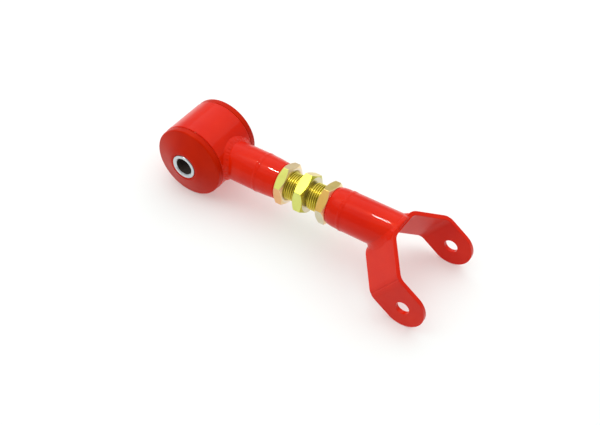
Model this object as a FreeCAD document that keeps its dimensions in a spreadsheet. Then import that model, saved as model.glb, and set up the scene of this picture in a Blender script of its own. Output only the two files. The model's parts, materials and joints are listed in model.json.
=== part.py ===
import FreeCAD, Part
import math
import os
import Sketcher

# Adjustable control arm: a rubber-bushed eye, a turnbuckle adjuster locked by two jam nuts,
# and a fork bent from one strap.
#
# Every piece is drawn in the tube's frame: X along the tube line from the bushing to the fork,
# Y along the bushing axis, origin at the middle of the bushing bore. The finished pieces are then
# tipped about Y until the shell and the two fork tabs stand on one level floor.

DRIVING = (
    ("shell_radius", 30.0, "bushing shell, outside radius"),
    ("shell_wall", 3.8, "bushing shell, wall"),
    ("shell_width", 38.1, "bushing shell, width along Y"),
    ("shell_chamfer", 0.6, "chamfer on the shell's rims"),
    ("flange_radius", 29.7, "bushing half, flange radius"),
    ("flange_band", 5.2, "bushing half, cylindrical band of the flange"),
    ("nose_height", 30.3, "bushing half, distance of its flat nose from the middle"),
    ("nose_radius", 12.6, "bushing half, radius of its flat nose"),
    ("half_gap", 0.25, "bushing half, distance of its inner end from the middle"),
    ("press_gap", 0.05, "radial gap between the bushing halves and the shell"),
    ("sleeve_radius", 10.3, "inner sleeve, outside radius"),
    ("sleeve_bore", 7.15, "inner sleeve, bore radius for a 14 mm bolt"),
    ("sleeve_length", 61.4, "inner sleeve, length"),
    ("sleeve_chamfer", 0.35, "chamfer on the sleeve's ends"),
    ("tube_radius", 15.875, "arm tubes, outside radius"),
    ("tube_wall", 3.05, "arm tubes, wall"),
    ("thread_radius", 11.11, "adjuster thread, 7/8-14 UNF, crest radius"),
    ("running_gap", 0.05, "radial running gap of threads and sleeve"),
    ("insert_end", 14.8, "threaded insert, radius of its nose at the nut"),
    ("insert_chamfer", 0.8, "threaded insert, chamfer at the nut"),
    ("spigot_length", 11.0, "threaded insert, length of its spigot in the tube"),
    ("left_seam", 55.6, "X of the weld between left tube and insert"),
    ("left_face", 74.0, "X where the left insert ends and its jam nut starts"),
    ("across_flats", 30.0, "nuts and adjuster hexagon, across flats"),
    ("corner_cut", 14.4, "radius where the hexagon chamfers start on the faces"),
    ("nut_thickness", 8.0, "jam nuts, thickness"),
    ("collar_wall", 0.9, "thread ring in a jam nut, wall"),
    ("collar_inset", 0.4, "thread ring, set back from the nut's faces"),
    ("hex_start", 91.4, "X of the adjuster hexagon's left face"),
    ("hex_length", 9.0, "adjuster hexagon, length"),
    ("stud_depth", 24.0, "length of each stud inside its insert"),
    ("core_radius", 4.0, "core of the adjuster, radius"),
    ("right_face", 120.0, "X where the right jam nut ends and its insert starts"),
    ("right_seam", 132.4, "X of the weld between right insert and tube"),
    ("seam_width", 4.2, "seam welds, width"),
    ("seam_height", 0.9, "seam welds, height above the tube"),
    ("bead_size", 3.2, "fillet welds at the shell and the fork, leg length"),
    ("fork_root", 167.1, "X where the tube line meets the back of the fork"),
    ("fork_droop", 36.0, "angle of the fork below the tube line, degrees"),
    ("strap_width", 34.9, "fork strap, width"),
    ("strap_thickness", 3.5, "fork strap, thickness"),
    ("web_half", 14.6, "fork strap, half width of the flat web at the back"),
    ("tab_half", 39.3, "fork tabs, distance of their outer faces from the middle"),
    ("hole_reach", 45.1, "bolt holes, distance from the back of the web"),
    ("bolt_hole", 5.5, "bolt holes, radius for a 10 mm bolt"),
    ("bend_radius", 8.0, "fork strap, inside radius of its bends"),
)

LEFT_NUT_PHASE = 38.7
HEX_PHASE = 25.0
RIGHT_NUT_PHASE = 46.9
HEX_CHAMFER_SLOPE = math.tan(math.radians(30.0))
HALF_BEND = math.tan(math.radians(22.5))

doc = FreeCAD.newDocument("control_arm")
sheet = doc.addObject("Spreadsheet::Sheet", "dims")
for row, (alias, number, note) in enumerate(DRIVING, start=1):
    sheet.set("A%d" % row, note)
    sheet.set("B%d" % row, str(number))
    sheet.setAlias("B%d" % row, alias)
doc.recompute()


class Size:
    """A number together with the sheet formula that gives it, so both stay in step."""

    def __init__(self, value, text):
        self.value = value
        self.text = text

    def joined(self, other, sign, value):
        return Size(value, "(%s %s %s)" % (self.text, sign, as_size(other).text))

    def __add__(self, other):
        return self.joined(other, "+", self.value + as_size(other).value)

    def __sub__(self, other):
        return self.joined(other, "-", self.value - as_size(other).value)

    def __mul__(self, other):
        return self.joined(other, "*", self.value * as_size(other).value)

    def __neg__(self):
        return self * -1.0


def as_size(number):
    """A plain number as a Size."""
    if isinstance(number, Size):
        return number
    return Size(number, "%.9f" % number)


def dim(alias):
    """The driving dimension with this name."""
    return Size(float(sheet.get(alias)), "dims." + alias)


ZERO = as_size(0.0)
ORIGIN = FreeCAD.Vector(0.0, 0.0, 0.0)
Y_UP = FreeCAD.Vector(0.0, 1.0, 0.0)
Z_UP = FreeCAD.Vector(0.0, 0.0, 1.0)
nodes = []


# ---------------------------------------------------------------- sketch and feature helpers

def new_body(label):
    """An empty body that becomes one sub-part."""
    body = doc.addObject("PartDesign::Body", label)
    body.Label = label
    return body


def new_sketch(body, role, lift=ZERO):
    """A sketch on one of the body's own origin planes, lifted along that plane's normal."""
    plane = [item for item in body.Origin.OriginFeatures if item.Role == role][0]
    sketch = body.newObject("Sketcher::SketchObject", body.Label + "_sketch")
    sketch.AttachmentSupport = (plane, [""])
    sketch.MapMode = "FlatFace"
    sketch.AttachmentOffset = FreeCAD.Placement(FreeCAD.Vector(0.0, 0.0, lift.value), FreeCAD.Rotation())
    sketch.setExpression("AttachmentOffset.Base.z", lift.text)
    return sketch


def bind(sketch, index, size):
    """Tie one constraint's value to its sheet formula."""
    sketch.setExpression("Constraints[%d]" % index, size.text)


def hold(sketch, geometry, point, kind, size):
    """Hold one coordinate of a sketch point: on the axis at zero, else at a bound distance."""
    if size is ZERO:
        axis = -2 if kind == "DistanceX" else -1
        sketch.addConstraint(Sketcher.Constraint("PointOnObject", geometry, point, axis))
        return
    index = sketch.addConstraint(Sketcher.Constraint(kind, -1, 1, geometry, point, size.value))
    bind(sketch, index, size)


def add_circle(sketch, radius, centre=(ZERO, ZERO)):
    """A circle with a bound radius and centre."""
    middle = FreeCAD.Vector(centre[0].value, centre[1].value, 0.0)
    circle = sketch.addGeometry(Part.Circle(middle, Z_UP, radius.value), False)
    hold(sketch, circle, 3, "DistanceX", centre[0])
    hold(sketch, circle, 3, "DistanceY", centre[1])
    bind(sketch, sketch.addConstraint(Sketcher.Constraint("Radius", circle, radius.value)), radius)


def add_outline(sketch, corners):
    """A closed outline of straight lines with every corner bound."""
    points = [FreeCAD.Vector(x.value, y.value, 0.0) for x, y in corners]
    count = len(points)
    first = len(sketch.Geometry)
    for index in range(count):
        sketch.addGeometry(Part.LineSegment(points[index], points[(index + 1) % count]), False)
    for index in range(count):
        following = first + (index + 1) % count
        sketch.addConstraint(Sketcher.Constraint("Coincident", first + index, 2, following, 1))
    for index, (x, y) in enumerate(corners):
        hold(sketch, first + index, 1, "DistanceX", x)
        hold(sketch, first + index, 1, "DistanceY", y)


def add_pad(body, sketch, length, symmetric=False):
    """Thicken a sketch along its normal."""
    pad = body.newObject("PartDesign::Pad", body.Label + "_pad")
    pad.Profile = sketch
    pad.Length = length.value
    pad.setExpression("Length", length.text)
    if symmetric:
        pad.SideType = "Symmetric"
    doc.recompute()
    return pad


def add_cut(body, sketch, length, reverse=False, symmetric=False):
    """Cut a sketch's area out of the body and make sure that something went."""
    before = body.Shape.Volume
    pocket = body.newObject("PartDesign::Pocket", body.Label + "_cut")
    pocket.Profile = sketch
    pocket.Length = length.value
    pocket.setExpression("Length", length.text)
    pocket.Reversed = reverse
    if symmetric:
        pocket.SideType = "Symmetric"
    doc.recompute()
    assert body.Shape.Volume < before - 0.01, body.Label
    return pocket


def add_turned(body, sketch, axis):
    """Revolve a sketch a full turn about its own H_Axis or V_Axis."""
    turned = body.newObject("PartDesign::Revolution", body.Label + "_turned")
    turned.Profile = sketch
    turned.ReferenceAxis = (sketch, [axis])
    turned.Angle = 360.0
    doc.recompute()
    return turned


def add_groove(body, corners):
    """Turn an outline about the X axis and cut it away."""
    before = body.Shape.Volume
    sketch = new_sketch(body, "XY_Plane")
    add_outline(sketch, corners)
    groove = body.newObject("PartDesign::Groove", body.Label + "_groove")
    groove.Profile = sketch
    groove.ReferenceAxis = (sketch, ["H_Axis"])
    groove.Angle = 360.0
    doc.recompute()
    assert body.Shape.Volume < before - 0.01, body.Label


def edges_at(feature, is_wanted):
    """Names of the feature's edges whose middle point passes a test."""
    names = []
    for index, edge in enumerate(feature.Shape.Edges, start=1):
        middle = edge.valueAt((edge.FirstParameter + edge.LastParameter) / 2.0)
        if is_wanted(edge, middle):
            names.append("Edge%d" % index)
    return names


def add_dressing(body, kind, feature, names, size):
    """A fillet or chamfer of a bound size on named edges."""
    dressing = body.newObject("PartDesign::" + kind, body.Label + "_" + kind.lower())
    dressing.Base = (feature, names)
    prop = "Radius" if kind == "Fillet" else "Size"
    setattr(dressing, prop, size.value)
    dressing.setExpression(prop, size.text)
    doc.recompute()
    return dressing


def bound_cylinder(name, radius, length, placement):
    """A cylinder primitive with a bound radius."""
    cylinder = doc.addObject("Part::Cylinder", name)
    cylinder.Radius = radius.value
    cylinder.setExpression("Radius", radius.text)
    cylinder.Height = length.value
    cylinder.setExpression("Height", length.text)
    cylinder.Placement = placement
    return cylinder


def combined(kind, label, base, tool):
    """A boolean of two shapes."""
    result = doc.addObject("Part::" + kind, label)
    result.Label = label
    result.Base = base
    result.Tool = tool
    doc.recompute()
    return result


def finish(node, placement):
    """Put a finished sub-part in its place and list it."""
    node.Placement = placement
    nodes.append(node)


# ---------------------------------------------------------------- where the pieces stand

def fork_placement():
    """The fork's own frame: X out of the web towards the bolt holes, origin on the tube line."""
    turn = FreeCAD.Rotation(Y_UP, dim("fork_droop").value)
    return FreeCAD.Placement(FreeCAD.Vector(dim("fork_root").value, 0.0, 0.0), turn)


def rest_placement():
    """Tips the arm about the bushing axis until shell and fork tabs touch a level floor."""
    hole = fork_placement().multVec(FreeCAD.Vector(dim("hole_reach").value, 0.0, 0.0))
    reach = math.hypot(hole.x, hole.z)
    fall = math.asin((dim("shell_radius").value - dim("strap_width").value / 2.0) / reach)
    tilt = math.degrees(math.atan2(hole.z, hole.x) + fall)
    return FreeCAD.Placement(ORIGIN, FreeCAD.Rotation(Y_UP, tilt))


REST = rest_placement()
FORK_REST = REST.multiply(fork_placement())
ALONG_Y = FreeCAD.Rotation(FreeCAD.Vector(1.0, 0.0, 0.0), -90.0)
ALONG_X = FreeCAD.Rotation(Y_UP, 90.0)


# ---------------------------------------------------------------- bushing eye

def bushing_shell():
    """Steel ring with broken rims."""
    body = new_body("bushing_shell")
    sketch = new_sketch(body, "XZ_Plane")
    add_circle(sketch, dim("shell_radius"))
    add_circle(sketch, dim("shell_radius") - dim("shell_wall"))
    pad = add_pad(body, sketch, dim("shell_width"), symmetric=True)
    rims = edges_at(pad, lambda edge, middle: edge.Length > 10.0 and abs(middle.y) > 1.0)
    add_dressing(body, "Chamfer", pad, rims, dim("shell_chamfer"))
    finish(body, REST)


def bushing_half(label, side):
    """Half bushing: a spigot in the shell, a thrust flange and a cone up to the sleeve."""
    bore = dim("sleeve_radius") + dim("running_gap")
    spigot = dim("shell_radius") - dim("shell_wall") - dim("press_gap")
    rim = dim("shell_width") * 0.5
    body = new_body(label)
    sketch = new_sketch(body, "XY_Plane")
    add_outline(sketch, (
        (bore, dim("half_gap") * side),
        (spigot, dim("half_gap") * side),
        (spigot, rim * side),
        (dim("flange_radius"), rim * side),
        (dim("flange_radius"), (rim + dim("flange_band")) * side),
        (dim("nose_radius"), dim("nose_height") * side),
        (bore, dim("nose_height") * side),
    ))
    add_turned(body, sketch, "V_Axis")
    finish(body, REST)


def inner_sleeve():
    """Steel sleeve the mounting bolt goes through."""
    body = new_body("inner_sleeve")
    sketch = new_sketch(body, "XZ_Plane")
    add_circle(sketch, dim("sleeve_radius"))
    add_circle(sketch, dim("sleeve_bore"))
    pad = add_pad(body, sketch, dim("sleeve_length"), symmetric=True)
    rims = edges_at(pad, lambda edge, middle: edge.Length > 10.0 and abs(middle.y) > 1.0)
    add_dressing(body, "Chamfer", pad, rims, dim("sleeve_chamfer"))
    finish(body, REST)


# ---------------------------------------------------------------- tubes, inserts and welds

def bushing_arm_tube():
    """Tube from the shell to the left insert, its end coped to the shell."""
    body = new_body("bushing_arm_tube")
    sketch = new_sketch(body, "YZ_Plane")
    add_circle(sketch, dim("tube_radius"))
    add_circle(sketch, dim("tube_radius") - dim("tube_wall"))
    add_pad(body, sketch, dim("left_seam"))
    cope = new_sketch(body, "XZ_Plane")
    add_circle(cope, dim("shell_radius"))
    add_cut(body, cope, dim("shell_radius") * 4.0, symmetric=True)
    finish(body, REST)


def shell_weld_bead():
    """Fillet weld that runs round the tube on the shell's surface."""
    deep = dim("shell_radius") * 2.0
    start = FreeCAD.Placement(FreeCAD.Vector(0.0, -dim("shell_radius").value, 0.0), ALONG_Y)
    skin = bound_cylinder("bead_skin", dim("shell_radius") + dim("bead_size"), deep, start)
    core = bound_cylinder("bead_core", dim("shell_radius"), deep, start)
    forward = FreeCAD.Placement(ORIGIN, ALONG_X)
    wide = bound_cylinder("bead_wide", dim("tube_radius") + dim("bead_size"), deep, forward)
    tube = bound_cylinder("bead_tube", dim("tube_radius"), deep, forward)
    layer = combined("Cut", "bead_layer", skin, core)
    patch = combined("Common", "bead_patch", layer, wide)
    finish(combined("Cut", "shell_weld_bead", patch, tube), REST)


def thread_insert(label, face, seam, side):
    """Threaded insert: spigot in the tube, tapered nose, chamfered end face at the nut."""
    bore = dim("thread_radius") + dim("running_gap")
    spigot = dim("tube_radius") - dim("tube_wall")
    body = new_body(label)
    sketch = new_sketch(body, "XY_Plane")
    add_outline(sketch, (
        (face, bore),
        (face, dim("insert_end") - dim("insert_chamfer")),
        (face + dim("insert_chamfer") * side, dim("insert_end")),
        (seam, dim("tube_radius")),
        (seam, spigot),
        (seam + dim("spigot_length") * side, spigot),
        (seam + dim("spigot_length") * side, bore),
    ))
    add_turned(body, sketch, "H_Axis")
    finish(body, REST)


def seam_weld(label, seam):
    """Low ring of weld over the joint between a tube and its insert."""
    half = dim("seam_width") * 0.5
    top = dim("tube_radius") + dim("seam_height")
    body = new_body(label)
    sketch = new_sketch(body, "XY_Plane")
    add_outline(sketch, (
        (seam - half, dim("tube_radius")),
        (seam - half * 0.5, top),
        (seam + half * 0.5, top),
        (seam + half, dim("tube_radius")),
    ))
    add_turned(body, sketch, "H_Axis")
    finish(body, REST)


def fork_arm_tube():
    """Tube from the right insert to the fork, mitred to lie on the back of the web."""
    body = new_body("fork_arm_tube")
    sketch = new_sketch(body, "YZ_Plane", lift=dim("right_seam"))
    add_circle(sketch, dim("tube_radius"))
    add_circle(sketch, dim("tube_radius") - dim("tube_wall"))
    reach = dim("tube_radius") * 2.0
    add_pad(body, sketch, dim("fork_root") - dim("right_seam") + reach)
    slope = math.tan(math.radians(dim("fork_droop").value))
    far = dim("fork_root") + reach * 1.5
    mitre = new_sketch(body, "XZ_Plane")
    add_outline(mitre, (
        (dim("fork_root") - reach * slope, -reach),
        (dim("fork_root") + reach * slope, reach),
        (far, reach),
        (far, -reach),
    ))
    add_cut(body, mitre, reach * 2.0, symmetric=True)
    finish(body, REST)


# ---------------------------------------------------------------- adjuster and jam nuts

def hexagon(sketch, phase):
    """A hexagon outline, one corner at the phase angle."""
    corner = dim("across_flats") * (1.0 / math.sqrt(3.0))
    angles = [math.radians(phase + 60.0 * step) for step in range(6)]
    add_outline(sketch, [(corner * math.cos(turn), corner * math.sin(turn)) for turn in angles])


def chamfer_corners(body, start, end):
    """Turn the hexagon's corners down at 30 degrees at both ends."""
    outer = dim("across_flats") * 0.62
    drop = (outer - dim("corner_cut")) * HEX_CHAMFER_SLOPE
    for face, side in ((start, 1.0), (end, -1.0)):
        add_groove(body, (
            (face, dim("corner_cut")),
            (face, outer),
            (face + drop * side, outer),
        ))


def adjuster():
    """Hexagon with a threaded stud each way, drilled through for its core."""
    left_end = dim("left_face") - dim("stud_depth")
    right_end = dim("right_face") + dim("stud_depth")
    body = new_body("adjuster")
    sketch = new_sketch(body, "YZ_Plane", lift=dim("hex_start"))
    hexagon(sketch, HEX_PHASE)
    add_pad(body, sketch, dim("hex_length"))
    chamfer_corners(body, dim("hex_start"), dim("hex_start") + dim("hex_length"))
    studs = new_sketch(body, "YZ_Plane", lift=left_end)
    add_circle(studs, dim("thread_radius"))
    add_pad(body, studs, right_end - left_end)
    drill = new_sketch(body, "YZ_Plane", lift=left_end)
    add_circle(drill, dim("core_radius") + dim("running_gap"))
    add_cut(body, drill, right_end - left_end, reverse=True)
    finish(body, REST)


def adjuster_core():
    """Plain rod along the middle of the adjuster."""
    left_end = dim("left_face") - dim("stud_depth")
    body = new_body("adjuster_core")
    sketch = new_sketch(body, "YZ_Plane", lift=left_end)
    add_circle(sketch, dim("core_radius"))
    add_pad(body, sketch, dim("right_face") + dim("stud_depth") - left_end)
    finish(body, REST)


def jam_nut(label, start, phase):
    """Thin hexagon nut, chamfered on both faces, bored for its thread ring."""
    body = new_body(label)
    sketch = new_sketch(body, "YZ_Plane", lift=start)
    hexagon(sketch, phase)
    add_pad(body, sketch, dim("nut_thickness"))
    chamfer_corners(body, start, start + dim("nut_thickness"))
    bore = new_sketch(body, "YZ_Plane", lift=start)
    add_circle(bore, dim("thread_radius") + dim("collar_wall") + dim("running_gap") * 2.0)
    add_cut(body, bore, dim("nut_thickness"), reverse=True)
    finish(body, REST)


def nut_collar(label, start):
    """Ring of thread inside a jam nut."""
    body = new_body(label)
    sketch = new_sketch(body, "YZ_Plane", lift=start + dim("collar_inset"))
    add_circle(sketch, dim("thread_radius") + dim("collar_wall") + dim("running_gap"))
    add_circle(sketch, dim("thread_radius") + dim("running_gap"))
    add_pad(body, sketch, dim("nut_thickness") - dim("collar_inset") * 2.0)
    finish(body, REST)


# ---------------------------------------------------------------- fork

def strap_corners():
    """Outline of the bent strap seen along its width: tab, 45-degree leg, web, leg, tab."""
    thick = dim("strap_thickness")
    tip = dim("hole_reach") + dim("strap_width") * 0.5
    knee = dim("tab_half") - dim("web_half")
    outer = ((tip, dim("tab_half")), (knee, dim("tab_half")), (ZERO, dim("web_half")))
    inner = (
        (thick, dim("web_half") - thick * HALF_BEND),
        (knee + thick * HALF_BEND, dim("tab_half") - thick),
        (tip, dim("tab_half") - thick),
    )
    mirrored_outer = [(x, -y) for x, y in reversed(outer)]
    mirrored_inner = [(x, -y) for x, y in reversed(inner)]
    return list(outer) + mirrored_outer + mirrored_inner + list(inner)


def is_bend(edge, middle, corners):
    """True for an edge across the strap at one of the given bend corners."""
    if abs(edge.tangentAt(edge.FirstParameter).z) < 0.99:
        return False
    near = [abs(middle.x - x.value) + abs(abs(middle.y) - y.value) for x, y in corners]
    return min(near) < 0.01


def round_tab_ends(body):
    """Cut the tab ends to a half circle about the bolt holes."""
    radius = dim("strap_width") * 0.5
    middle = dim("hole_reach")
    sketch = new_sketch(body, "XZ_Plane")
    centre = FreeCAD.Vector(middle.value, 0.0, 0.0)
    round_end = Part.ArcOfCircle(Part.Circle(centre, Z_UP, radius.value), -math.pi / 2, math.pi / 2)
    arc = sketch.addGeometry(round_end, False)
    far = middle + radius * 1.5
    side = radius * 1.5
    corners = ((middle, radius), (middle, side), (far, side), (far, -side), (middle, -side), (middle, -radius))
    points = [FreeCAD.Vector(x.value, y.value, 0.0) for x, y in corners]
    lines = []
    for start, end in zip(points, points[1:]):
        lines.append(sketch.addGeometry(Part.LineSegment(start, end), False))
    for line, following in zip(lines, lines[1:]):
        sketch.addConstraint(Sketcher.Constraint("Coincident", line, 2, following, 1))
    sketch.addConstraint(Sketcher.Constraint("Coincident", arc, 2, lines[0], 1))
    sketch.addConstraint(Sketcher.Constraint("Coincident", lines[-1], 2, arc, 1))
    hold(sketch, arc, 3, "DistanceX", middle)
    hold(sketch, arc, 3, "DistanceY", ZERO)
    for line, (x, y) in zip(lines, corners):
        hold(sketch, line, 1, "DistanceX", x)
        hold(sketch, line, 1, "DistanceY", y)
    hold(sketch, arc, 1, "DistanceX", middle)
    add_cut(body, sketch, dim("tab_half") * 3.0, symmetric=True)


def fork_strap():
    """Fork bent from one strap, with round tab ends and a bolt hole in each."""
    body = new_body("fork_strap")
    sketch = new_sketch(body, "XY_Plane")
    corners = strap_corners()
    add_outline(sketch, corners)
    pad = add_pad(body, sketch, dim("strap_width"), symmetric=True)
    outside = corners[1:3]
    names = edges_at(pad, lambda edge, middle: is_bend(edge, middle, outside))
    bends = add_dressing(body, "Fillet", pad, names, dim("bend_radius") + dim("strap_thickness"))
    inside = corners[-3:-1]
    names = edges_at(bends, lambda edge, middle: is_bend(edge, middle, inside))
    add_dressing(body, "Fillet", bends, names, dim("bend_radius"))
    round_tab_ends(body)
    holes = new_sketch(body, "XZ_Plane")
    add_circle(holes, dim("bolt_hole"), centre=(dim("hole_reach"), ZERO))
    add_cut(body, holes, dim("tab_half") * 3.0, symmetric=True)
    finish(body, FORK_REST)


def fork_weld():
    """Fillet weld round the tube's mitred end, over the web and the start of the legs."""
    size = dim("bead_size")
    flare = dim("tube_radius") + size * 2.0
    spread = flare - dim("web_half")
    back = size * HALF_BEND
    layer = new_body("fork_weld_layer")
    sketch = new_sketch(layer, "XY_Plane")
    add_outline(sketch, (
        (ZERO, dim("web_half")),
        (spread, flare),
        (spread - size * math.sqrt(2.0), flare),
        (-size, dim("web_half") + back),
        (-size, -dim("web_half") - back),
        (spread - size * math.sqrt(2.0), -flare),
        (spread, -flare),
        (ZERO, -dim("web_half")),
    ))
    add_pad(layer, sketch, dim("strap_width") + size * 1.5, symmetric=True)
    length = dim("strap_width") * 3.0
    lean = FreeCAD.Rotation(Y_UP, 90.0 - dim("fork_droop").value)
    start = lean.multVec(FreeCAD.Vector(0.0, 0.0, -length.value / 2.0))
    along_tube = FreeCAD.Placement(start, lean)
    wide = bound_cylinder("weld_wide", dim("tube_radius") + size, length, along_tube)
    tube = bound_cylinder("weld_tube", dim("tube_radius"), length, along_tube)
    patch = combined("Common", "weld_patch", layer, wide)
    finish(combined("Cut", "fork_weld", patch, tube), FORK_REST)


# ---------------------------------------------------------------- build, check and write

def check_document():
    """Stop if any object failed or any sub-part has no sound solid."""
    doc.recompute()
    for item in doc.Objects:
        assert "Invalid" not in item.State and "Error" not in item.State, item.Label
    for node in nodes:
        assert not node.Shape.isNull() and node.Shape.isValid(), node.Label
        assert len(node.Shape.Solids) == 1, node.Label


bushing_shell()
bushing_half("bushing_half_near", -1.0)
bushing_half("bushing_half_far", 1.0)
inner_sleeve()
bushing_arm_tube()
shell_weld_bead()
thread_insert("left_thread_insert", dim("left_face"), dim("left_seam"), -1.0)
seam_weld("left_insert_weld", dim("left_seam"))
jam_nut("left_jam_nut", dim("left_face"), LEFT_NUT_PHASE)
nut_collar("left_nut_collar", dim("left_face"))
adjuster()
adjuster_core()
right_start = dim("right_face") - dim("nut_thickness")
jam_nut("right_jam_nut", right_start, RIGHT_NUT_PHASE)
nut_collar("right_nut_collar", right_start)
thread_insert("right_thread_insert", dim("right_face"), dim("right_seam"), 1.0)
seam_weld("right_insert_weld", dim("right_seam"))
fork_arm_tube()
fork_strap()
fork_weld()
check_document()

os.makedirs("parts", exist_ok=True)
for node in nodes:
    node.Shape.exportStep("parts/%s.step" % node.Label)
    box = node.Shape.BoundBox
    print("%-20s %9.1f mm3  x %6.1f %6.1f  y %6.1f %6.1f  z %6.1f %6.1f" % (
        node.Label, node.Shape.Volume, box.XMin, box.XMax, box.YMin, box.YMax, box.ZMin, box.ZMax))
print("rest tilt %.4f degrees" % math.degrees(REST.Rotation.Angle))
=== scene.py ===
import json
import math

import bmesh
import bpy
from mathutils import Matrix, Vector, noise


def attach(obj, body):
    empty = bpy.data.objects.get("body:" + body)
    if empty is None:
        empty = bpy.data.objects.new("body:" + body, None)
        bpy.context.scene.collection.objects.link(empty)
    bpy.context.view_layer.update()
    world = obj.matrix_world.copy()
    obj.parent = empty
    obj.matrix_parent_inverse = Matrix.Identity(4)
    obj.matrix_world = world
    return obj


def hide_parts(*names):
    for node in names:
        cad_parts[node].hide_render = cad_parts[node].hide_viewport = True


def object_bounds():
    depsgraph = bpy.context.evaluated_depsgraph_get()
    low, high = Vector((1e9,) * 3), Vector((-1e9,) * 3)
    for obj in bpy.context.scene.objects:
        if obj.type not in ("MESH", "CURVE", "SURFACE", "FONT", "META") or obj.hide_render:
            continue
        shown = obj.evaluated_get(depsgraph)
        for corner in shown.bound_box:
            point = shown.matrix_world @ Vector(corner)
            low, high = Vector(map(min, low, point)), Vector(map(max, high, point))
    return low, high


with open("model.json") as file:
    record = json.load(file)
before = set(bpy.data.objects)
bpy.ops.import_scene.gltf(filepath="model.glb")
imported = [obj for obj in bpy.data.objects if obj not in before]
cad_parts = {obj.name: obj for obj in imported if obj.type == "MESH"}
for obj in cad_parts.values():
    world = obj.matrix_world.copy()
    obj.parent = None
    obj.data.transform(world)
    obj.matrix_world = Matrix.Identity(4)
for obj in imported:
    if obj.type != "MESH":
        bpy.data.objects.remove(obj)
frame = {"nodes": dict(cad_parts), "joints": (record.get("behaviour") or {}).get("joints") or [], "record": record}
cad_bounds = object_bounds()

# The arm is drawn in millimetres in three local frames and then written in metres in the shared
# frame: along the tube line, along the bushing axis, and in the drooping fork.

MM = 0.001
TURN = 2.0 * math.pi

record = frame["record"]
joints = {joint["name"]: joint for joint in frame["joints"]}
mounts = {mount["name"]: mount for mount in record["mounts"]}

TUBE = Vector(joints["adjuster_travel"]["axis"]).normalized()
SIDE = Vector(mounts["bushing_bore"]["axis"]).normalized()
RISE = TUBE.cross(SIDE).normalized()


def frame_of(first, second, third, origin=Vector((0.0, 0.0, 0.0))):
    """Matrix from a local frame in metres to the shared frame."""
    matrix = Matrix((first, second, third)).transposed().to_4x4()
    matrix.translation = origin
    return matrix


TUBE_FRAME = frame_of(TUBE, SIDE, RISE)
BUSH_FRAME = frame_of(SIDE, RISE, TUBE)


def web_back():
    """Middle of the flat back of the fork's web, and the way it faces."""
    middle = Vector()
    facing = Vector()
    area = 0.0
    for face in frame["nodes"]["fork_strap"].data.polygons:
        in_web = abs(face.center.dot(SIDE)) < 9.0 * MM
        if in_web and abs(face.normal.dot(SIDE)) < 0.01 and face.normal.dot(TUBE) < -0.7:
            middle += face.center * face.area
            facing += face.normal * face.area
            area += face.area
    return middle / area, facing.normalized()


fork_holes = Vector(mounts["fork_bolt_holes"]["pos_m"])
web_middle, web_facing = web_back()
FORK_OUT = -web_facing
FORK_UP = FORK_OUT.cross(SIDE).normalized()
HOLE_REACH = (fork_holes - web_middle).dot(FORK_OUT) / MM
FORK_FRAME = frame_of(FORK_OUT, SIDE, FORK_UP, fork_holes - FORK_OUT * HOLE_REACH * MM)


# ---------------------------------------------------------------- sizes read from the CAD nodes

def local_points(node, place):
    """A CAD node's vertices in a local frame, in millimetres."""
    back = place.inverted()
    return [(back @ vertex.co) / MM for vertex in frame["nodes"][node].data.vertices]


def span(node, place=TUBE_FRAME):
    """Where a node starts and ends along a frame's first axis."""
    along = [point.x for point in local_points(node, place)]
    return min(along), max(along)


def radii(node, place=TUBE_FRAME):
    """The smallest and largest distance of a node's vertices from a frame's first axis."""
    away = [math.hypot(point.y, point.z) for point in local_points(node, place)]
    return min(away), max(away)


def hexagon_of(node):
    """A CAD hexagon on the tube line: start, end, size over flats, end circle, angle of a corner."""
    points = [(point.x, math.hypot(point.y, point.z), math.atan2(point.z, point.y))
              for point in local_points(node, TUBE_FRAME)]
    tip, corner = max((away, angle) for along, away, angle in points)
    wide = [along for along, away, angle in points if away > tip * 0.8]
    start, end = min(wide), max(wide)
    end_circle = max(away for along, away, angle in points if abs(along - start) < 0.02)
    return start, end, 2.0 * tip * math.cos(TURN / 12.0), end_circle, math.degrees(corner) % 60.0


# ---------------------------------------------------------------- mesh helpers

CORNER_STEPS = 5
EDGE_SEGMENTS = 3
TUBE_STEPS = 128


def add_piece(name, body, points, faces, place, material, replaces=()):
    """A mesh piece from local points in millimetres, riding on a body."""
    mesh = bpy.data.meshes.new(name)
    mesh.from_pydata([place @ (Vector(point) * MM) for point in points], [], faces)
    work = bmesh.new()
    work.from_mesh(mesh)
    bmesh.ops.recalc_face_normals(work, faces=work.faces)
    work.to_mesh(mesh)
    work.free()
    mesh.shade_smooth()
    piece = bpy.data.objects.new(name, mesh)
    bpy.context.scene.collection.objects.link(piece)
    mesh.materials.append(material)
    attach(piece, body)
    if replaces:
        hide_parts(*replaces)
    return piece


def ring_faces(ring_count, around):
    """Quads that join closed rings to each other, the last one back to the first."""
    faces = []
    for ring in range(ring_count):
        following = (ring + 1) % ring_count
        for step in range(around):
            beside = (step + 1) % around
            faces.append((ring * around + step, ring * around + beside,
                          following * around + beside, following * around + step))
    return faces


def add_rings(name, body, rings, place, material, replaces=()):
    """A closed piece from rings of points."""
    points = [point for ring in rings for point in ring]
    faces = ring_faces(len(rings), len(rings[0]))
    return add_piece(name, body, points, faces, place, material, replaces)


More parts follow.
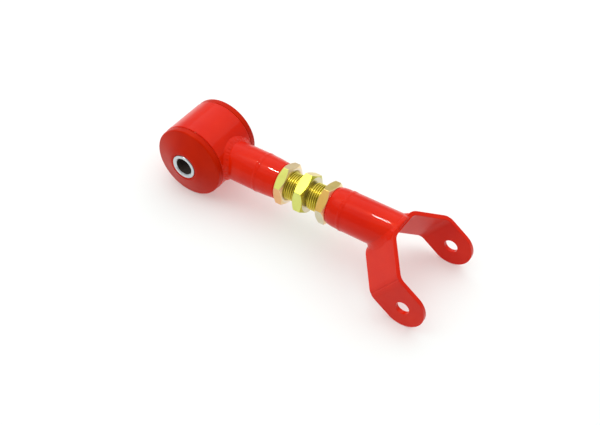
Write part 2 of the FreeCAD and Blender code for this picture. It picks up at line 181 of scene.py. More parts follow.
def rounded(corners):
    """A closed outline of (along, away, radius) corners with each corner rounded."""
    outline = []
    count = len(corners)
    for index, (along, away, radius) in enumerate(corners):
        corner = Vector((along, away))
        if radius <= 0.0:
            outline.append(corner)
            continue
        before = Vector(corners[index - 1][:2]) - corner
        after = Vector(corners[(index + 1) % count][:2]) - corner
        half = before.angle(after) / 2.0
        reach = min(radius / math.tan(half), before.length * 0.49, after.length * 0.49)
        start = corner + before.normalized() * reach
        end = corner + after.normalized() * reach
        real = reach * math.tan(half)
        centre = corner + (before.normalized() + after.normalized()).normalized() * real / math.sin(half)
        first = start - centre
        sweep = first.angle_signed(end - centre)
        for step in range(CORNER_STEPS + 1):
            turn = Matrix.Rotation(-sweep * step / CORNER_STEPS, 2)
            outline.append(centre + turn @ first)
    return outline


def circle_ring(along, away, around):
    """A ring of points about a frame's first axis."""
    angles = [TURN * step / around for step in range(around)]
    return [(along, away * math.cos(angle), away * math.sin(angle)) for angle in angles]


def lathe(name, body, corners, place, material, replaces=(), around=TUBE_STEPS):
    """A turned piece from a rounded outline."""
    rings = [circle_ring(point.x, point.y, around) for point in rounded(corners)]
    piece = add_rings(name, body, rings, place, material, replaces)
    keep_flats_flat(piece)
    return piece


def keep_flats_flat(piece):
    """Large faces set the shading, so that they stay flat beside small rounded edges."""
    weighted = piece.modifiers.new("flat faces", "WEIGHTED_NORMAL")
    weighted.weight = 60
    weighted.keep_sharp = False


def round_edges(piece, width, angle):
    """Round every edge sharper than an angle."""
    bevel = piece.modifiers.new("round edges", "BEVEL")
    bevel.width = width * MM
    bevel.segments = EDGE_SEGMENTS
    bevel.limit_method = "ANGLE"
    bevel.angle_limit = math.radians(angle)
    bevel.miter_outer = "MITER_ARC"
    bevel.harden_normals = True


# ---------------------------------------------------------------- materials

NOISE_ROUGHNESS = 0.55


class Look:
    """A node material and its shader."""

    def __init__(self, name):
        self.material = bpy.data.materials.new(name)
        self.material.use_nodes = True
        self.tree = self.material.node_tree
        self.shader = self.tree.nodes["Principled BSDF"]
        self.place = self.tree.nodes.new("ShaderNodeTexCoord").outputs["Object"]

    def link(self, output, target):
        self.tree.links.new(output, target)

    def settings(self, **values):
        for name, value in values.items():
            self.shader.inputs[name.replace("_", " ")].default_value = value

    def paint(self, colour):
        self.link(colour, self.shader.inputs["Base Color"])

    def roughen(self, scale, low, high):
        self.link(self.level(self.noise(scale), low, high), self.shader.inputs["Roughness"])

    def noise(self, scale, detail=3.0):
        node = self.tree.nodes.new("ShaderNodeTexNoise")
        node.inputs["Scale"].default_value = scale
        node.inputs["Detail"].default_value = detail
        node.inputs["Roughness"].default_value = NOISE_ROUGHNESS
        self.link(self.place, node.inputs["Vector"])
        return node.outputs["Fac"]

    def ramp(self, source, *stops):
        node = self.tree.nodes.new("ShaderNodeValToRGB")
        elements = node.color_ramp.elements
        while len(elements) < len(stops):
            elements.new(0.5)
        for element, (position, colour) in zip(elements, stops):
            element.position = position
            element.color = (*colour, 1.0)
        self.link(source, node.inputs["Fac"])
        return node.outputs["Color"]

    def mix(self, factor, first, second, mode="MIX"):
        node = self.tree.nodes.new("ShaderNodeMix")
        node.data_type = "RGBA"
        node.blend_type = mode
        colours = [item for item in node.inputs if item.type == "RGBA"]
        factors = [item for item in node.inputs if item.type == "VALUE"]
        for value, socket in ((factor, factors[0]), (first, colours[0]), (second, colours[1])):
            if isinstance(value, bpy.types.NodeSocket):
                self.link(value, socket)
            else:
                socket.default_value = value if isinstance(value, float) else (*value, 1.0)
        return [item for item in node.outputs if item.type == "RGBA"][0]

    def level(self, source, low, high):
        node = self.tree.nodes.new("ShaderNodeMapRange")
        node.inputs["To Min"].default_value = low
        node.inputs["To Max"].default_value = high
        self.link(source, node.inputs["Value"])
        return node.outputs["Result"]

    def bump(self, source, depth, strength=1.0, under=None):
        node = self.tree.nodes.new("ShaderNodeBump")
        node.inputs["Strength"].default_value = strength
        node.inputs["Distance"].default_value = depth * MM
        self.link(source, node.inputs["Height"])
        if under is not None:
            self.link(under, node.inputs["Normal"])
        self.link(node.outputs["Normal"], self.shader.inputs["Normal"])
        return node.outputs["Normal"]

    def tint(self, name):
        node = self.tree.nodes.new("ShaderNodeAttribute")
        node.attribute_name = name
        return node.outputs["Color"]


def powder_coat():
    """Glossy red powder coat: faint orange peel under a clear, shiny skin."""
    look = Look("red_powder_coat")
    drift = look.noise(38.0, 4.0)
    colour = look.ramp(drift, (0.3, (0.63, 0.009, 0.0004)), (0.7, (0.7, 0.016, 0.0009)))
    look.paint(colour)
    look.roughen(420.0, 0.26, 0.36)
    coarse = look.bump(look.noise(330.0, 2.0), 0.05, 0.35)
    look.bump(look.noise(1500.0, 1.0), 0.012, 0.4, coarse)
    look.settings(Coat_Weight=0.28, Coat_Roughness=0.02, Specular_IOR_Level=0.15,
                  Specular_Tint=(1.0, 0.12, 0.02, 1.0))
    return look.material


def polyurethane():
    """Red moulded polyurethane: a little softer and duller than the paint."""
    look = Look("red_polyurethane")
    drift = look.noise(55.0, 4.0)
    colour = look.ramp(drift, (0.3, (0.47, 0.008, 0.0004)), (0.7, (0.54, 0.014, 0.0008)))
    look.paint(colour)
    look.roughen(260.0, 0.36, 0.46)
    look.bump(look.noise(900.0, 2.0), 0.02, 0.4)
    look.settings(Coat_Weight=0.01, Coat_Roughness=0.12, Specular_IOR_Level=0.25,
                  Specular_Tint=(1.0, 0.16, 0.04, 1.0))
    return look.material


def bright_zinc():
    """Bright zinc plate with a fine grain."""
    look = Look("bright_zinc")
    drift = look.noise(300.0, 3.0)
    colour = look.ramp(drift, (0.3, (0.5, 0.56, 0.6)), (0.7, (0.64, 0.68, 0.7)))
    look.paint(colour)
    look.roughen(900.0, 0.24, 0.36)
    look.bump(look.noise(2200.0, 2.0), 0.01, 0.5)
    look.settings(Metallic=1.0)
    return look.material


def painted_shade_bore():
    """Painted shade: the zinc sleeve's bore is coloured near black and dull, as the deep bore lies in shade."""
    look = Look("bore_painted_shade")
    colour = look.ramp(look.noise(500.0), (0.3, (0.03, 0.022, 0.018)), (0.7, (0.06, 0.045, 0.035)))
    look.paint(colour)
    look.roughen(900.0, 0.55, 0.7)
    look.settings(Metallic=0.3)
    return look.material


def yellow_zinc(name, low, high, by_face=True):
    """Iridescent yellow zinc plate: each face can have its own cast, which holds painted reflection on the
    hexagons and painted shade and highlight on the threads, broken up by soft clouds.
    """
    look = Look(name)
    clouds = look.noise(160.0, 4.0)
    cast = look.ramp(clouds, (0.25, low), (0.75, high))
    colour = look.mix(1.0, look.tint("cast"), cast, "MULTIPLY") if by_face else cast
    look.paint(colour)
    look.roughen(700.0, 0.24, 0.38)
    look.bump(look.noise(2000.0, 2.0), 0.012, 0.5)
    look.settings(Metallic=1.0)
    return look.material


POWDER = powder_coat()
POLY = polyurethane()
ZINC = bright_zinc()
BORE_SHADE = painted_shade_bore()
PLATE = yellow_zinc("yellow_zinc", (0.92, 0.9, 0.84), (1.0, 1.0, 1.0))
THREAD = yellow_zinc("yellow_zinc_thread", (0.8, 0.78, 0.7), (1.0, 1.0, 1.0))
PLATE_PLAIN = yellow_zinc("yellow_zinc_plain", (0.42, 0.33, 0.06), (0.56, 0.46, 0.1), False)

# Tints for the hexagons' flats, end faces and chamfers: painted reflection over the plating's iridescence, each
# face tinted as it shows at rest.
GOLD = (0.86, 0.68, 0.24)
GREEN = (0.64, 0.67, 0.17)
YELLOW = (0.56, 0.54, 0.06)
OLIVE = (0.7, 0.74, 0.2)
ORANGE = (1.0, 0.62, 0.17)
PINK = (0.86, 0.53, 0.25)
PEACH = (0.98, 0.76, 0.44)
LILAC = (0.88, 0.76, 0.6)
GREY = (0.72, 0.68, 0.5)
# Painted highlight on the thread's crests and painted shade in its roots.
CREST_PAINTED_HIGHLIGHT = (0.93, 0.8, 0.13)
ROOT_PAINTED_SHADE = (0.3, 0.23, 0.02)


def paint_light_cast(piece, choose):
    """Gives each face corner its colour, which carries painted light; choose gets the face's middle and normal."""
    mesh = piece.data
    layer = mesh.color_attributes.new("cast", "FLOAT_COLOR", "CORNER")
    for face in mesh.polygons:
        colour = choose(face)
        for corner in face.loop_indices:
            layer.data[corner].color = (*colour, 1.0)


# ---------------------------------------------------------------- bushing eye

EYE_STEPS = 180
SLEEVE_STEPS = 96
PRESS_GAP = 0.05
RIM_GAP = 0.12
FLANGE_BAND = 5.2
CONE_TOP = 12.6
SLEEVE_CHAMFER = 0.8


def make_bushing():
    """Steel shell, and the two polyurethane halves with their flanges and coned ends."""
    shell_start, shell_end = span("bushing_shell", BUSH_FRAME)
    shell_in, shell_out = radii("bushing_shell", BUSH_FRAME)
    lathe("shell", "bushing_end", (
        (shell_start, shell_in, 0.5), (shell_start, shell_out, 0.9),
        (shell_end, shell_out, 0.9), (shell_end, shell_in, 0.5),
    ), BUSH_FRAME, POWDER, ["bushing_shell"], EYE_STEPS)
    for node, side in (("bushing_half_near", -1.0), ("bushing_half_far", 1.0)):
        inner, flange = radii(node, BUSH_FRAME)
        ends = span(node, BUSH_FRAME)
        foot = min(ends, key=abs)
        nose = max(ends, key=abs)
        rim = shell_end * side
        back = rim + RIM_GAP * side
        band = rim + FLANGE_BAND * side
        seat = shell_in - PRESS_GAP
        lathe(node + "_moulding", "bushing_end", (
            (foot, inner, 0.3), (foot, seat, 0.3), (back, seat, 0.1), (back, flange, 0.7),
            (band, flange, 1.5), (nose, CONE_TOP, 3.0), (nose, inner, 0.9),
        ), BUSH_FRAME, POLY, [node], EYE_STEPS)


def make_sleeve():
    """Bright sleeve whose bore is coloured near black as painted shade."""
    start, end = span("inner_sleeve", BUSH_FRAME)
    inner, outer = radii("inner_sleeve", BUSH_FRAME)
    sleeve = lathe("sleeve", "sleeve", (
        (start + SLEEVE_CHAMFER, inner, 0.15), (start, inner + SLEEVE_CHAMFER, 0.2),
        (start, outer, 0.45), (end, outer, 0.45),
        (end, inner + SLEEVE_CHAMFER, 0.2), (end - SLEEVE_CHAMFER, inner, 0.15),
    ), BUSH_FRAME, ZINC, ["inner_sleeve"], SLEEVE_STEPS)
    # Second material: the bore's faces get the near-black painted shade.
    sleeve.data.materials.append(BORE_SHADE)
    for face in sleeve.data.polygons:
        local = BUSH_FRAME.inverted() @ face.center / MM
        if math.hypot(local.y, local.z) < inner + 0.05 and abs(local.x) < end - 0.4:
            face.material_index = 1


# ---------------------------------------------------------------- tubes, inserts and welds

COPE_OVERLAP = 0.3
SPIGOT_LENGTH = 11.0
SPIGOT_RADIUS = 12.8
NOSE_RADIUS = 14.8
NOSE_CHAMFER = 0.8
THREAD_MOUTH = 0.9
TAPER_LENGTH = 8.0
TAPER_RADIUS = 15.6
BEAD_STEPS = 12
BEAD_SUNK = 0.12
SEAM_ROOT_HALF = 0.9
SEAM_ROOT_DEPTH = 0.8
SEAM_STEPS = 260
SHELL_WELD_STEPS = 320
FORK_WELD_STEPS = 360
WELD_LEG = 3.0
TOE_SUNK = 0.15
SHELL_WELD_RIM = 18.9


def make_bushing_tube():
    """Tube whose end is coped to the shell's surface."""
    inner, outer = radii("bushing_arm_tube")
    shell = radii("bushing_shell", BUSH_FRAME)[1]
    end = span("bushing_arm_tube")[1]
    rings = []
    for radius, is_start in ((outer, True), (outer, False), (inner, False), (inner, True)):
        ring = circle_ring(end, radius, TUBE_STEPS)
        if is_start:
            ring = [(math.sqrt(shell * shell - z * z) - COPE_OVERLAP, y, z) for _, y, z in ring]
        rings.append(ring)
    piece = add_rings("bushing_tube", "bushing_end", rings, TUBE_FRAME, POWDER,
                      ["bushing_arm_tube"])
    keep_flats_flat(piece)


def make_insert(name, body, node, seam_at_start):
    """Threaded insert with a tapered nose."""
    start, end = span(node)
    face, spigot = (end, start) if seam_at_start else (start, end)
    side = 1.0 if spigot > face else -1.0
    seam = spigot - SPIGOT_LENGTH * side
    inner, outer = radii(node)
    lathe(name, body, (
        (face, inner + THREAD_MOUTH, 0.2), (face, NOSE_RADIUS - NOSE_CHAMFER, 0.25),
        (face + NOSE_CHAMFER * side, NOSE_RADIUS, 0.5),
        (seam - TAPER_LENGTH * side, TAPER_RADIUS, 40.0), (seam, outer, 0.3),
        (seam, SPIGOT_RADIUS, 0.0), (spigot, SPIGOT_RADIUS, 0.5), (spigot, inner, 0.0),
        (face + THREAD_MOUTH * side, inner, 0.0),
    ), TUBE_FRAME, POWDER, [node])


def weld_profile(half_width, height, along, seed):
    """Cross-section of a bead at one place on its path: (across, height) points."""
    wide = half_width * (1.0 + 0.13 * noise.noise(Vector((along / 3.1, seed, 0.0))))
    tall = height * (1.0 + 0.22 * noise.noise(Vector((along / 2.3, 5.0 + seed, 0.0))))
    section = []
    for step in range(BEAD_STEPS + 1):
        t = -1.0 + 2.0 * step / BEAD_STEPS
        ripple = 0.035 * math.cos(TURN * along / 2.1 + 2.0 * t * t) * (1.0 - t * t)
        lumps = 0.14 * noise.noise(Vector((along / 1.5, t * 1.3, 9.0 + seed))) * (1.0 - t * t)
        lift = 0.42 * tall * max(0.0, 1.0 - t * t) ** 1.3 + ripple + lumps
        section.append((wide * t, lift - BEAD_SUNK))
    return section


def make_seam(name, body, node, seed):
    """Ring of weld round the joint of a tube and its insert."""
    start, end = span(node)
    inner, outer = radii(node)
    middle = (start + end) / 2.0
    stations = []
    for step in range(SEAM_STEPS):
        angle = TURN * step / SEAM_STEPS
        section = weld_profile((end - start) / 2.0, outer - inner, angle * inner, seed)
        ring = [(middle + across, (inner + lift) * math.cos(angle), (inner + lift) * math.sin(angle))
                for across, lift in section]
        root = inner - SEAM_ROOT_DEPTH
        for across in (SEAM_ROOT_HALF, -SEAM_ROOT_HALF):
            ring.append((middle + across, root * math.cos(angle), root * math.sin(angle)))
        stations.append(ring)
    add_rings(name, body, stations, TUBE_FRAME, POWDER, [node])


def curve_between(first, corner, last, steps):
    """Points on the arc-like curve from first to last that bulges towards corner."""
    points = []
    for step in range(steps + 1):
        t = step / steps
        points.append(first * (1 - t) * (1 - t) + corner * 2 * t * (1 - t) + last * t * t)
    return points


def ripple_out(points, along, outward, seed, size=0.12):
    """Push a bead's cross-section in and out like overlapping weld drops."""
    moved = []
    last = len(points) - 1
    for index, point in enumerate(points):
        t = index / last
        swell = math.sin(math.pi * t)
        drops = math.cos(TURN * along / 2.6 + 2.5 * (t - 0.5) ** 2)
        lumps = noise.noise(Vector((along / 2.4, t * 1.5, seed)))
        lumps += 0.5 * noise.noise(Vector((along / 1.1, t * 3.0, seed + 4.0)))
        moved.append(point + outward * swell * size * (0.7 * drops + 2.6 * lumps))
    return moved


def make_shell_weld():
    """Fillet weld between the tube and the shell."""
    tube = radii("bushing_arm_tube")[1]
    shell = radii("bushing_shell", BUSH_FRAME)[1]
    stations = []
    for step in range(SHELL_WELD_STEPS):
        angle = TURN * step / SHELL_WELD_STEPS
        spoke = Vector((0.0, math.cos(angle), math.sin(angle)))
        rise = math.sin(angle)
        along = angle * tube
        reach = WELD_LEG * (1.0 + 0.12 * noise.noise(Vector((along / 3.5, 3.0, 0.0))))
        root = math.sqrt(shell * shell - (tube * rise) ** 2)
        out = min(tube + reach, SHELL_WELD_RIM)
        foot = math.sqrt(shell * shell - (out * rise) ** 2)
        on_tube = spoke * (tube - TOE_SUNK) + Vector((root + reach, 0.0, 0.0))
        on_shell = spoke * out + Vector((foot - TOE_SUNK, 0.0, 0.0))
        corner = spoke * (tube + 1.15) + Vector((root + 1.3, 0.0, 0.0))
        outward = (spoke + Vector((1.0, 0.0, 0.0))).normalized()
        ring = ripple_out(curve_between(on_tube, corner, on_shell, 12), along, outward, 1.0)
        ring.append(spoke * (tube - 0.9) + Vector((root - 1.2, 0.0, 0.0)))
        stations.append(ring)
    add_rings("shell_weld", "bushing_end", stations, TUBE_FRAME, POWDER,
              ["shell_weld_bead"])


# ---------------------------------------------------------------- nuts, hexagon and threads

HEX_SLOPE = math.tan(math.radians(30.0))
FLAT_STEPS = 18
HEX_EDGE = 0.22
HEX_EDGE_ANGLE = 24.0
NUT_MOUTH = 0.7
CORE_BORE = 4.05
CORE_MOUTH = 0.3


def hex_rings(hexagon, bore, countersink):
    """Rings of a hexagon chamfered at both ends, one corner at the phase angle."""
    start, end, flats, end_circle, phase = hexagon
    around = 6 * FLAT_STEPS
    offset = math.radians(phase)
    outline = []
    for step in range(around):
        angle = TURN * step / around
        within = angle % (TURN / 6.0) - TURN / 12.0
        outline.append((offset + angle, flats / 2.0 / math.cos(within)))

    def even(along, away):
        return [(along, away * math.cos(angle), away * math.sin(angle)) for angle, _ in outline]

    def dropped(face, side):
        return [(face + side * (edge - end_circle) * HEX_SLOPE,
                 edge * math.cos(angle), edge * math.sin(angle)) for angle, edge in outline]

    return [
        even(start, bore + countersink), even(start, end_circle), dropped(start, 1.0),
        dropped(end, -1.0), even(end, end_circle), even(end, bore + countersink),
        even(end - countersink, bore), even(start + countersink, bore),
    ]


def hex_painted_reflections(piece, phase, flats, face_colour, cone_colour):
    """Painted reflection by flat over the plating's iridescence, each face tinted as it shows at rest: the flats
    are listed by the angle of their middle, from the phase on.
    """
    back = TUBE_FRAME.inverted().to_3x3()

    def choose(face):
        normal = back @ face.normal
        if abs(normal.x) > 0.95:
            return face_colour
        if abs(normal.x) > 0.2:
            return cone_colour
        angle = math.degrees(math.atan2(normal.z, normal.y))
        return flats[int(((angle - phase) % 360.0) // 60.0) % 6]

    paint_light_cast(piece, choose)


def make_nut(name, body, node, flats, face_colour, cone_colour):
    """Jam nut, its size and angle read from its CAD node."""
    hexagon = hexagon_of(node)
    rings = hex_rings(hexagon, radii(node)[0], NUT_MOUTH)
    piece = add_rings(name, body, rings, TUBE_FRAME, PLATE, [node])
    hex_painted_reflections(piece, hexagon[4], flats, face_colour, cone_colour)
    round_edges(piece, HEX_EDGE, HEX_EDGE_ANGLE)


# The thread is 7/8-14 UNF. Its crest is read from the CAD, a running gap inside a nut's thread ring.
THREAD_PITCH = 25.4 / 14.0
THREAD_DEPTH = 1.05
THREAD_GAP = 0.05
THREAD_STEPS = 84
RINGS_PER_PITCH = 12.0
STUD_OVERLAP = 0.5


def thread_radius(turns, crest, root):
    """Radius of a 60 degree thread, its crest and root a little rounded."""
    t = turns % 1.0
    rise = min(t, 1.0 - t) * 2.0
    level = min(1.0, max(0.0, (rise - 0.2) / 0.62))
    return root + (crest - root) * level * level * (3.0 - 2.0 * level)


def make_stud(name, start, end, free_end, hand):
    """Threaded stud of the adjuster, pointed a little at its free end and necked at the hexagon."""
    crest = radii("left_nut_collar")[0] - THREAD_GAP
    root = crest - THREAD_DEPTH
    count = int(round((end - start) / (THREAD_PITCH / RINGS_PER_PITCH)))
    rings = []
    for index in range(count + 1):
        along = start + (end - start) * index / count
        from_free = abs(along - free_end)
        from_hex = (end - start) - from_free
        cap = min(crest, root - 1.0 + from_free, root + max(0.0, from_hex - 1.2) * 0.8)
        ring = []
        for step in range(THREAD_STEPS):
            angle = TURN * step / THREAD_STEPS
            turns = along / THREAD_PITCH - hand * step / THREAD_STEPS
            away = min(cap, thread_radius(turns, crest, root))
            ring.append((along, away * math.cos(angle), away * math.sin(angle)))
        rings.append(ring)
    rings.append(circle_ring(end, CORE_BORE, THREAD_STEPS))
    rings.append(circle_ring(start, CORE_BORE, THREAD_STEPS))
    stud = add_rings(name, "adjuster", rings, TUBE_FRAME, THREAD)
    back = TUBE_FRAME.inverted()

    # Painted shade and highlight: each face darkens towards the thread's root and brightens towards its crest.
    def choose(face):
        middle = back @ face.center / MM
        level = (math.hypot(middle.y, middle.z) - root) / (crest - root)
        return Vector(ROOT_PAINTED_SHADE).lerp(Vector(CREST_PAINTED_HIGHLIGHT), min(1.0, max(0.0, level * 1.3)))

    paint_light_cast(stud, choose)


def make_adjuster():
    """Hexagon with a stud each way, the studs' threads of opposite hands."""
    start, end = span("adjuster")
    hexagon = hexagon_of("adjuster")
    left, right = hexagon[:2]
    rings = hex_rings(hexagon, CORE_BORE, CORE_MOUTH)
    piece = add_rings("adjuster_hexagon", "adjuster", rings, TUBE_FRAME, PLATE,
                      ["adjuster"])
    # Painted reflection: the hexagon's flats, end faces and chamfers are tinted as each shows at rest.
    hex_painted_reflections(piece, hexagon[4], [GOLD, YELLOW, OLIVE, GOLD, GREY, GOLD], GREY, YELLOW)
    round_edges(piece, HEX_EDGE, HEX_EDGE_ANGLE)
    make_stud("adjuster_left_stud", start, left + STUD_OVERLAP, start, -1.0)
    make_stud("adjuster_right_stud", right - STUD_OVERLAP, end, end, 1.0)


# ---------------------------------------------------------------- fork

EIGHTH = math.pi / 4.0
BEND_IN = 8.0
BEND_STEPS = 8
TAB_STEPS = 40
HOLE_STEPS = 56
STRAP_EDGE = 0.55
STRAP_EDGE_ANGLE = 40.0
FORK_WELD_SUNK = 0.3


def strap_sizes():
    """Half width, thickness, outer bend radius, half of the web to its corner and half of the tabs."""
    points = local_points("fork_strap", FORK_FRAME)
    flat_web = [point for point in points if abs(point.x) < 0.01]
    thick = min(point.x for point in points if point.x > 0.5 and abs(point.y) < 12.0)
    bend = BEND_IN + thick
    web = max(abs(point.y) for point in flat_web) + bend * math.tan(EIGHTH / 2.0)
    return (max(point.z for point in points), thick, bend, web, max(point.y for point in points))


STRAP_HALF, STRAP_THICK, BEND_OUT, WEB_HALF, TAB_HALF = strap_sizes()


def strap_elements():
    """Straights and bends from the middle of the web to a tab: (length, turn) pairs."""
    cut = BEND_OUT * math.tan(EIGHTH / 2.0)
    arc = (BEND_OUT - STRAP_THICK / 2.0) * EIGHTH
    leg = (TAB_HALF - WEB_HALF) * math.sqrt(2.0) - 2.0 * cut
    tab = HOLE_REACH - (TAB_HALF - WEB_HALF) - cut
    return [(WEB_HALF - cut, 0.0), (arc, EIGHTH), (leg, 0.0), (arc, EIGHTH), (tab, 0.0)]


STRAP = strap_elements()
HOLE_AT = sum(length for length, turn in STRAP)

# The line pressed across each tab's bend.
CREASE_AT = sum(length for length, turn in STRAP[:3]) + STRAP[3][0] * 0.5
CREASE_HALF = 0.6
CREASE_DEPTH = 0.35


def strap_point(along, across, depth):
    """Fork-frame point of the strap: along its length, across its width, below its outer face."""
    side = -1.0 if along < 0.0 else 1.0
    left = abs(along)
    place = Vector((0.0, 0.0))
    heading = 0.0
    for index, (length, turn) in enumerate(STRAP):
        step = left if index == len(STRAP) - 1 else min(left, length)
        if turn:
            share = turn * step / length
            centre = place + Vector((math.cos(heading), -math.sin(heading))) * BEND_OUT
            heading += share
            place = centre - Vector((math.cos(heading), -math.sin(heading))) * BEND_OUT
        else:
            place = place + Vector((math.sin(heading), math.cos(heading))) * step
        left -= step
        if left <= 0.0:
            break
    place = place + Vector((math.cos(heading), -math.sin(heading))) * depth
    return Vector((place.x, place.y * side, across))


def flat_strap(hole):
    """The strap before bending, as a flat mesh cut across at every step of its bends."""
    flat = bmesh.new()
    outline = []
    for side in (1.0, -1.0):
        for step in range(TAB_STEPS + 1):
            angle = math.pi / 2.0 - math.pi * step / TAB_STEPS
            outline.append((side * (HOLE_AT + STRAP_HALF * math.cos(angle)),
                            side * STRAP_HALF * math.sin(angle)))
    angles = [TURN * step / HOLE_STEPS for step in range(HOLE_STEPS)]
    loops = [outline]
    for side in (1.0, -1.0):
        loops.append([(side * HOLE_AT + hole * math.cos(angle), hole * math.sin(angle))
                      for angle in angles])
    edges = []
    for loop in loops:
        verts = [flat.verts.new((x, y, 0.0)) for x, y in loop]
        edges += [flat.edges.new((verts[index - 1], verts[index])) for index in range(len(verts))]
    bmesh.ops.triangle_fill(flat, use_beauty=True, edges=edges)
    cuts = []
    start = 0.0
    for length, turn in STRAP[:-1]:
        pieces = BEND_STEPS if turn else 1
        cuts += [start + length * (step + 1) / pieces for step in range(pieces)]
        if turn:
            cuts.append(start)
        start += length
    cuts += [CREASE_AT - CREASE_HALF, CREASE_AT, CREASE_AT + CREASE_HALF]
    for cut in sorted(set(round(cut, 6) for cut in cuts)):
        for side in (1.0, -1.0):
            geometry = flat.verts[:] + flat.edges[:] + flat.faces[:]
            bmesh.ops.bisect_plane(flat, geom=geometry, plane_co=(cut * side, 0.0, 0.0),
                                   plane_no=(1.0, 0.0, 0.0))
    return flat


def make_strap():
    """Bent strap with round tab ends and rounded edges."""
    flat = flat_strap(mounts["fork_bolt_holes"]["dims"]["r_mm"])
    flat.verts.ensure_lookup_table()
    flat.verts.index_update()
    count = len(flat.verts)
    outer_depths = [CREASE_DEPTH if abs(abs(vert.co.x) - CREASE_AT) < 0.01 else 0.0
                    for vert in flat.verts]
    points = [strap_point(vert.co.x, vert.co.y, depth) for vert, depth in zip(flat.verts, outer_depths)]
    points += [strap_point(vert.co.x, vert.co.y, STRAP_THICK) for vert in flat.verts]
    faces = []
    for face in flat.faces:
        corners = [vert.index for vert in face.verts]
        faces.append(corners)
        faces.append([index + count for index in reversed(corners)])
    for edge in flat.edges:
        if len(edge.link_faces) == 1:
            a, b = [vert.index for vert in edge.verts]
            faces.append((a, b, b + count, a + count))
    flat.free()
    strap = add_piece("fork_strap_bent", "fork_end", points, faces, FORK_FRAME, POWDER,
                      ["fork_strap"])
    work = bmesh.new()
    work.from_mesh(strap.data)
    bmesh.ops.remove_doubles(work, verts=work.verts, dist=1e-7)
    bmesh.ops.dissolve_limit(work, angle_limit=math.radians(0.4), verts=work.verts, edges=work.edges)
    bmesh.ops.recalc_face_normals(work, faces=work.faces)
    work.to_mesh(strap.data)
    work.free()
    strap.data.shade_smooth()
    round_edges(strap, STRAP_EDGE, STRAP_EDGE_ANGLE)


def tube_axis_in_fork():
    """The tube line in the fork's frame: its direction towards the bushing, and square to it."""
    back = FORK_FRAME.inverted().to_3x3()
    return (back @ -TUBE).normalized(), (back @ RISE).normalized()


def mitre_point(radius, angle):
    """Where a line along the tube, at this angle round it, meets the plane of the web's back."""
    back, up = tube_axis_in_fork()
    spoke = Vector((0.0, math.cos(angle), 0.0)) + up * math.sin(angle)
    start = spoke * radius
    return start - back * (start.x / back.x), spoke


def make_fork_tube():
    """Tube mitred onto the fork."""
    inner, outer = radii("fork_arm_tube")
    start = span("fork_arm_tube")[0]
    back = FORK_FRAME.inverted() @ TUBE_FRAME
    rings = []
    for radius, at_fork in ((outer, False), (outer, True), (inner, True), (inner, False)):
        ring = []
        for step in range(TUBE_STEPS):
            angle = TURN * step / TUBE_STEPS
            if at_fork:
                ring.append(mitre_point(radius, angle)[0])
            else:
                place = Vector((start, radius * math.cos(angle), radius * math.sin(angle))) * MM
                ring.append((back @ place) / MM)
        rings.append(ring)
    piece = add_rings("fork_tube", "fork_end", rings, FORK_FRAME, POWDER,
                      ["fork_arm_tube"])
    keep_flats_flat(piece)


def strap_surface(across):
    """How far the strap's outer face has fallen away from the web's back, this far from its middle."""
    flat = WEB_HALF - BEND_OUT * math.tan(EIGHTH / 2.0)
    past = abs(across) - flat
    if past <= 0.0:
        return 0.0
    if past <= BEND_OUT * math.sin(EIGHTH):
        return BEND_OUT - math.sqrt(BEND_OUT * BEND_OUT - past * past)
    return abs(across) - WEB_HALF


def ease(value):
    """Smooth step from 0 to 1."""
    t = min(1.0, max(0.0, value))
    return t * t * (3.0 - 2.0 * t)


def make_fork_weld():
    """Fillet weld between the tube and the fork, wrapping over the strap's edges above and below."""
    outer = radii("fork_arm_tube")[1]
    back = tube_axis_in_fork()[0]
    stations = []
    for step in range(FORK_WELD_STEPS):
        angle = TURN * step / FORK_WELD_STEPS
        root, spoke = mitre_point(outer, angle)
        along = angle * outer
        reach = WELD_LEG * (1.0 + 0.1 * noise.noise(Vector((along / 4.0, 7.0, 0.0))))
        flat_out = Vector((0.0, root.y, root.z)).normalized()
        on_tube = root + back * reach - spoke * TOE_SUNK
        toe = root + flat_out * reach
        side = math.copysign(1.0, root.z)
        over = max(0.0, abs(toe.z) - (STRAP_HALF - FORK_WELD_SUNK))
        surface = strap_surface(toe.y)
        toe.x = surface + FORK_WELD_SUNK + min(2.2, over * 0.8)
        toe.z = side * min(abs(toe.z), STRAP_HALF - FORK_WELD_SUNK)
        past_edge = max(0.0, abs(root.z) - STRAP_HALF)
        on_face = root + back * 0.8 + flat_out * 1.1 + Vector((surface * 0.5, 0.0, 0.0))
        over_edge = root + Vector((1.0 + surface * 0.5, 0.0, side * (1.4 + past_edge)))
        corner = on_face.lerp(over_edge, ease(over / reach))
        outward = (corner - root).normalized()
        ring = ripple_out(curve_between(on_tube, corner, toe, 14), along, outward, 2.0, 0.1)
        ring.append(root - spoke * 1.2 + back * 0.8)
        stations.append(ring)
    add_rings("fork_weld_fillet", "fork_end", stations, FORK_FRAME, POWDER,
              ["fork_weld"])


# ---------------------------------------------------------------- stage

# The camera is written in the tube's frame, so that the arm's lean at rest doesn't move it.
CAMERA_PLACE = Vector((0.398, -0.4785, 0.5211))
CAMERA_AIM = Vector((0.0896, 0.0, -0.0245))
CAMERA_ROLL = math.radians(1.23)
CAMERA_LENS = 60.5
STUDIO_CENTRE = Vector((0.1, 0.0, -0.03))
FLOOR_HALF = 6.0
SKY_STRENGTH = 0.52
SPARK_FROM = TUBE_FRAME.to_3x3() @ Vector((-0.262, -0.11, 0.959))


def make_camera():
    """The camera that took the photograph, as it was fitted."""
    camera = bpy.data.cameras.new("camera")
    camera.lens = CAMERA_LENS
    camera.sensor_width = 36.0
    camera.clip_start = 0.01
    holder = bpy.data.objects.new("camera", camera)
    bpy.context.scene.collection.objects.link(holder)
    look = (CAMERA_AIM - CAMERA_PLACE).to_track_quat("-Z", "Y")
    roll = Matrix.Rotation(CAMERA_ROLL, 4, "Z")
    local = Matrix.Translation(CAMERA_PLACE) @ look.to_matrix().to_4x4() @ roll
    holder.matrix_world = TUBE_FRAME @ local
    bpy.context.scene.camera = holder


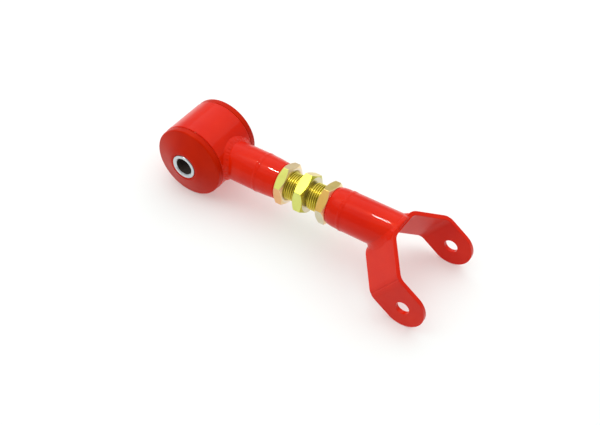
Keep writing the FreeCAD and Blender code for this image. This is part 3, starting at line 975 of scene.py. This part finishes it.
def make_floor():
    """Plain floor, a trace of green in its white against the red that the paint throws on it."""
    mesh = bpy.data.meshes.new("floor")
    level = cad_bounds[0].z
    corners = ((-1.0, -1.0), (1.0, -1.0), (1.0, 1.0), (-1.0, 1.0))
    mesh.from_pydata([(x * FLOOR_HALF, y * FLOOR_HALF, level) for x, y in corners], [], [(0, 1, 2, 3)])
    floor = bpy.data.objects.new("floor", mesh)
    bpy.context.scene.collection.objects.link(floor)
    look = Look("white_paper")
    colour = look.ramp(look.noise(6.0), (0.0, (0.86, 0.9, 0.885)), (1.0, (0.88, 0.915, 0.9)))
    look.paint(colour)
    look.settings(Roughness=0.9, Specular_IOR_Level=0.1)
    mesh.materials.append(look.material)


def add_light(name, direction, distance, width, height, power, shadow=True):
    """A soft box that faces the middle of the stage."""
    light = bpy.data.lights.new(name, "AREA")
    light.shape = "RECTANGLE"
    light.size = width
    light.size_y = height
    light.energy = power
    light.use_shadow = shadow
    holder = bpy.data.objects.new(name, light)
    bpy.context.scene.collection.objects.link(holder)
    away = Vector(direction).normalized()
    holder.location = STUDIO_CENTRE + away * distance
    holder.rotation_euler = (-away).to_track_quat("-Z", "Y").to_euler()


def make_world():
    """An even white sky."""
    world = bpy.data.worlds.new("studio")
    bpy.context.scene.world = world
    world.use_nodes = True
    sky = world.node_tree.nodes["Background"]
    sky.inputs["Color"].default_value = (1.0, 1.0, 1.0, 1.0)
    sky.inputs["Strength"].default_value = SKY_STRENGTH


def make_stage():
    """Camera, floor and lights; the spark makes the glint along the tube and casts no shadow."""
    make_camera()
    make_floor()
    make_world()
    add_light("overhead", (-0.15, 0.4, 1.0), 1.6, 3.0, 2.4, 18.0)
    add_light("key", (-0.42, -0.4, 0.82), 1.5, 0.9, 0.9, 1.6)
    add_light("spark", SPARK_FROM, 8.0, 0.7, 0.8, 200.0, shadow=False)
    bpy.context.scene.view_settings.view_transform = "Standard"


make_stage()
make_bushing()
make_sleeve()
make_bushing_tube()
make_shell_weld()
make_insert("left_insert", "bushing_end", "left_thread_insert", True)
make_seam("left_seam", "bushing_end", "left_insert_weld", 1.0)
# Each nut's flats, end faces and chamfers are tinted as painted reflection, as each shows at rest.
make_nut("left_nut", "left_nut", "left_jam_nut",
         [PEACH, GREEN, PINK, GREY, GREY, PEACH], LILAC, PEACH)
make_adjuster()
make_nut("right_nut", "right_nut", "right_jam_nut",
         [GOLD, ORANGE, GREY, GREY, GOLD, GOLD], LILAC, PEACH)
make_insert("right_insert", "fork_end", "right_thread_insert", False)
make_seam("right_seam", "fork_end", "right_insert_weld", 2.0)
make_fork_tube()
make_strap()
make_fork_weld()
# The CAD nodes that stay keep their shape and get a material.
for node in ("adjuster_core", "left_nut_collar", "right_nut_collar"):
    for holder in frame["nodes"][node].material_slots:
        holder.link = "OBJECT"
        holder.material = PLATE_PLAIN
